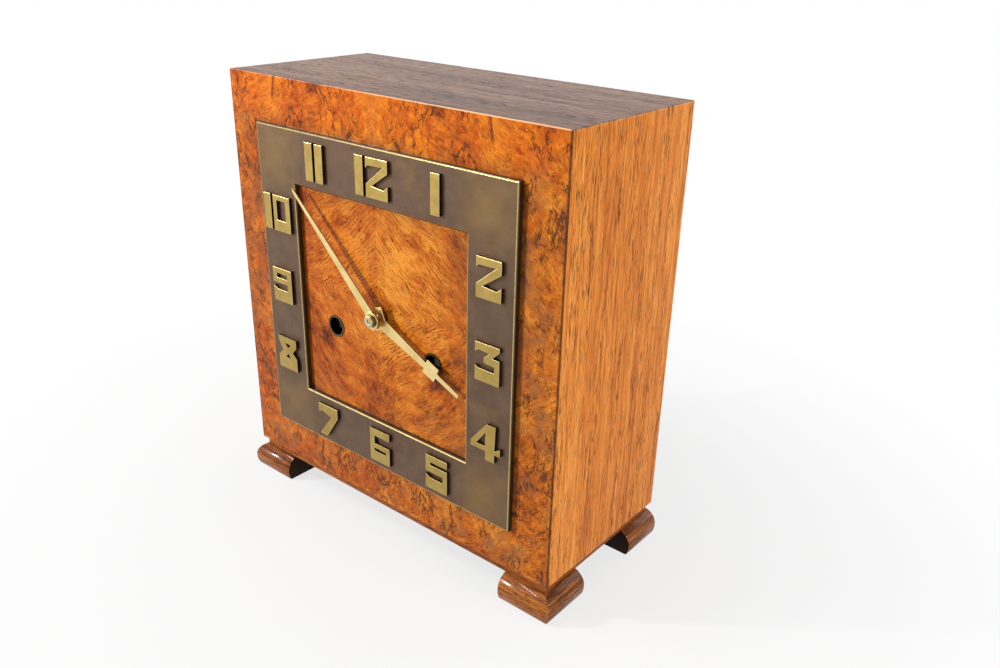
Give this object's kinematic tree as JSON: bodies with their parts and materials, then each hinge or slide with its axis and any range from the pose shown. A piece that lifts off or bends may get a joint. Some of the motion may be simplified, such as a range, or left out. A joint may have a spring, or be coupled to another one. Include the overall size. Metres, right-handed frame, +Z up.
{
  "type": "wooden desk clock",
  "caption": "Square wooden mantel clock with a bronze dial frame, raised numerals, two hands, winding holes, moulded feet, and a hinged back over a spring-driven striking movement.",
  "frame": {"origin": "centre of the bounding box at the level of the feet's undersides", "axes": "+Z up, +Y to the back (the dial faces -Y), +X to the right seen from the front"},
  "size_m": [0.248, 0.1264, 0.2628],
  "materials": {
    "front_burl": "gloss lacquer over burl veneer",
    "side_wood": "satin lacquer, straight grain",
    "top_wood": "satin lacquer, straight grain",
    "inner_wood": "plain, sealed",
    "foot_wood": "gloss lacquer",
    "dial_bronze": "patinated, polished edges",
    "numeral_brass": "satin with bright edges",
    "hand_brass": "polished and lacquered",
    "ferrule_brass": "turned",
    "movement_brass": "fine ground",
    "steel": "ground",
    "gong_steel": "blued",
    "gong_iron": "black japanned",
    "hinge_brass": "plain"
  },
  "bodies": {
    "case": {"top_board": "top_wood", "left_side": "side_wood", "right_side": "side_wood", "bottom_board": "inner_wood", "front_board": "inner_wood", "front_veneer": "front_burl", "plinth": "foot_wood", "feet": "foot_wood", "case_hinges": "hinge_brass", "dial_frame": "dial_bronze", "numeral_1": "numeral_brass", "numeral_2": "numeral_brass", "numeral_3": "numeral_brass", "numeral_4": "numeral_brass", "numeral_5": "numeral_brass", "numeral_6": "numeral_brass", "numeral_7": "numeral_brass", "numeral_8": "numeral_brass", "numeral_9": "numeral_brass", "numeral_10": "numeral_brass", "numeral_11": "numeral_brass", "numeral_12": "numeral_brass", "winding_ferrules": "ferrule_brass", "front_plate": "movement_brass", "back_plate": "movement_brass", "plate_pillars": "steel", "pillar_nuts": "steel", "movement_posts": "steel", "suspension_cock": "movement_brass", "gong_coil": "gong_steel", "gong_block": "gong_iron"},
    "door": {"back_door": "inner_wood", "door_hinge_leaves": "hinge_brass", "door_pull": "hinge_brass"},
    "minute": {"centre_wheel": "movement_brass", "cannon_pinion": "movement_brass", "minute_hand": "hand_brass", "hand_nut": "steel"},
    "hour": {"hour_wheel": "movement_brass", "hour_hand": "hand_brass"},
    "motion_minute": {"minute_wheel": "movement_brass"},
    "going_second": {"going_second_wheel": "movement_brass"},
    "going_spring": {"going_barrel": "movement_brass"},
    "third": {"third_wheel": "movement_brass"},
    "escape": {"escape_wheel": "movement_brass"},
    "pallets": {"anchor": "steel"},
    "pendulum": {"suspension_spring": "steel", "pendulum_rod": "steel"},
    "bob": {"pendulum_bob": "movement_brass"},
    "regulator": {"rating_nut": "movement_brass"},
    "going_arbor": {"going_winding_arbor": "steel"},
    "going_pawl": {"going_click": "steel"},
    "strike_spring": {"strike_barrel": "movement_brass"},
    "strike_arbor": {"strike_winding_arbor": "steel"},
    "strike_pawl": {"strike_click": "steel"},
    "strike_second": {"strike_second_wheel": "movement_brass"},
    "strike_pins": {"pin_wheel": "movement_brass"},
    "warning": {"warning_wheel": "movement_brass"},
    "brake": {"fly": "movement_brass"},
    "hammer": {"hammer": "movement_brass"}
  },
  "joints": [
    {"name": "door_hinge", "type": "hinge", "parent": "case", "child": "door", "pos_m": [0.1108, 0.0561, 0.1428], "axis": [0, 0, -1], "range_deg": [0, 110]},
    {"name": "minute_hand_turn", "type": "hinge", "parent": "case", "child": "minute", "pos_m": [0, 0, 0.1428], "axis": [0, 1, 0], "continuous": true},
    {"name": "hour_hand_turn", "type": "hinge", "parent": "case", "child": "hour", "pos_m": [0, 0, 0.1428], "axis": [0, 1, 0], "continuous": true},
    {"name": "minute_wheel_turn", "type": "hinge", "parent": "case", "child": "motion_minute", "pos_m": [0, 0, 0.1278], "axis": [0, 1, 0], "continuous": true},
    {"name": "going_second_turn", "type": "hinge", "parent": "case", "child": "going_second", "pos_m": [0.01106, 0, 0.12373], "axis": [0, 1, 0], "continuous": true},
    {"name": "going_barrel_turn", "type": "hinge", "parent": "case", "child": "going_spring", "pos_m": [0.03825, 0, 0.1262], "axis": [0, 1, 0], "continuous": true},
    {"name": "third_wheel_turn", "type": "hinge", "parent": "case", "child": "third", "pos_m": [0.01379, 0, 0.15923], "axis": [0, 1, 0], "continuous": true},
    {"name": "escape_wheel_turn", "type": "hinge", "parent": "case", "child": "escape", "pos_m": [0, 0, 0.17103], "axis": [0, 1, 0], "continuous": true},
    {"name": "pendulum_swing", "type": "hinge", "parent": "case", "child": "pendulum", "pos_m": [0, 0, 0.18968], "axis": [0, 1, 0], "range_deg": [-3.5, 3.5]},
    {"name": "anchor_swing", "type": "hinge", "parent": "case", "child": "pallets", "pos_m": [0, 0, 0.18968], "axis": [0, 1, 0], "range_deg": [-3.5, 3.5]},
    {"name": "bob_rise", "type": "slide", "parent": "pendulum", "child": "bob", "axis": [0, 0, 1], "range_m": [-0.001, 0.001]},
    {"name": "rating_nut_turn", "type": "hinge", "parent": "bob", "child": "regulator", "pos_m": [0, 0.0098, 0.18968], "axis": [0, 0, 1], "range_deg": [-720.5, 720.5]},
    {"name": "going_winding", "type": "hinge", "parent": "case", "child": "going_arbor", "pos_m": [0.03825, 0, 0.1262], "axis": [0, 1, 0], "range_deg": [0, 2160]},
    {"name": "going_click_lift", "type": "hinge", "parent": "case", "child": "going_pawl", "pos_m": [0.03295, 0, 0.14077], "axis": [0, -1, 0], "range_deg": [0, 12]},
    {"name": "strike_winding", "type": "hinge", "parent": "case", "child": "strike_arbor", "pos_m": [-0.03825, 0, 0.1262], "axis": [0, 1, 0], "range_deg": [0, 2160]},
    {"name": "strike_click_lift", "type": "hinge", "parent": "case", "child": "strike_pawl", "pos_m": [-0.04355, 0, 0.14077], "axis": [0, -1, 0], "range_deg": [0, 12]},
    {"name": "pin_wheel_turn", "type": "hinge", "parent": "case", "child": "strike_pins", "pos_m": [-0.02053, 0, 0.17147], "axis": [0, 1, 0], "continuous": true},
    {"name": "strike_second_turn", "type": "hinge", "parent": "case", "child": "strike_second", "pos_m": [-0.03234, 0, 0.15285], "axis": [0, 1, 0], "continuous": true},
    {"name": "strike_barrel_turn", "type": "hinge", "parent": "case", "child": "strike_spring", "pos_m": [-0.03825, 0, 0.1262], "axis": [0, 1, 0], "continuous": true},
    {"name": "warning_wheel_turn", "type": "hinge", "parent": "case", "child": "warning", "pos_m": [-0.03575, 0, 0.17701], "axis": [0, 1, 0], "continuous": true},
    {"name": "fly_turn", "type": "hinge", "parent": "case", "child": "brake", "pos_m": [-0.03815, 0, 0.1906], "axis": [0, 1, 0], "continuous": true},
    {"name": "hammer_lift", "type": "hinge", "parent": "case", "child": "hammer", "pos_m": [-0.054, 0, 0.1708], "axis": [0, -1, 0], "range_deg": [0, 8]}
  ],
  "couplings": [
    {"joint": "hour_hand_turn", "follows": "minute_hand_turn", "ratio": 0.083333},
    {"joint": "minute_wheel_turn", "follows": "minute_hand_turn", "ratio": -0.33333},
    {"joint": "going_second_turn", "follows": "minute_hand_turn", "ratio": -0.16667},
    {"joint": "going_barrel_turn", "follows": "minute_hand_turn", "ratio": 0.027778},
    {"joint": "third_wheel_turn", "follows": "minute_hand_turn", "ratio": -12},
    {"joint": "escape_wheel_turn", "follows": "minute_hand_turn", "ratio": 120},
    {"joint": "anchor_swing", "follows": "pendulum_swing", "ratio": 1},
    {"joint": "rating_nut_turn", "follows": "bob_rise", "rad_per_m": 12566},
    {"joint": "strike_second_turn", "follows": "strike_barrel_turn", "ratio": -6},
    {"joint": "pin_wheel_turn", "follows": "strike_barrel_turn", "ratio": 36},
    {"joint": "warning_wheel_turn", "follows": "strike_barrel_turn", "ratio": -288},
    {"joint": "fly_turn", "follows": "strike_barrel_turn", "ratio": 1920}
  ]
}
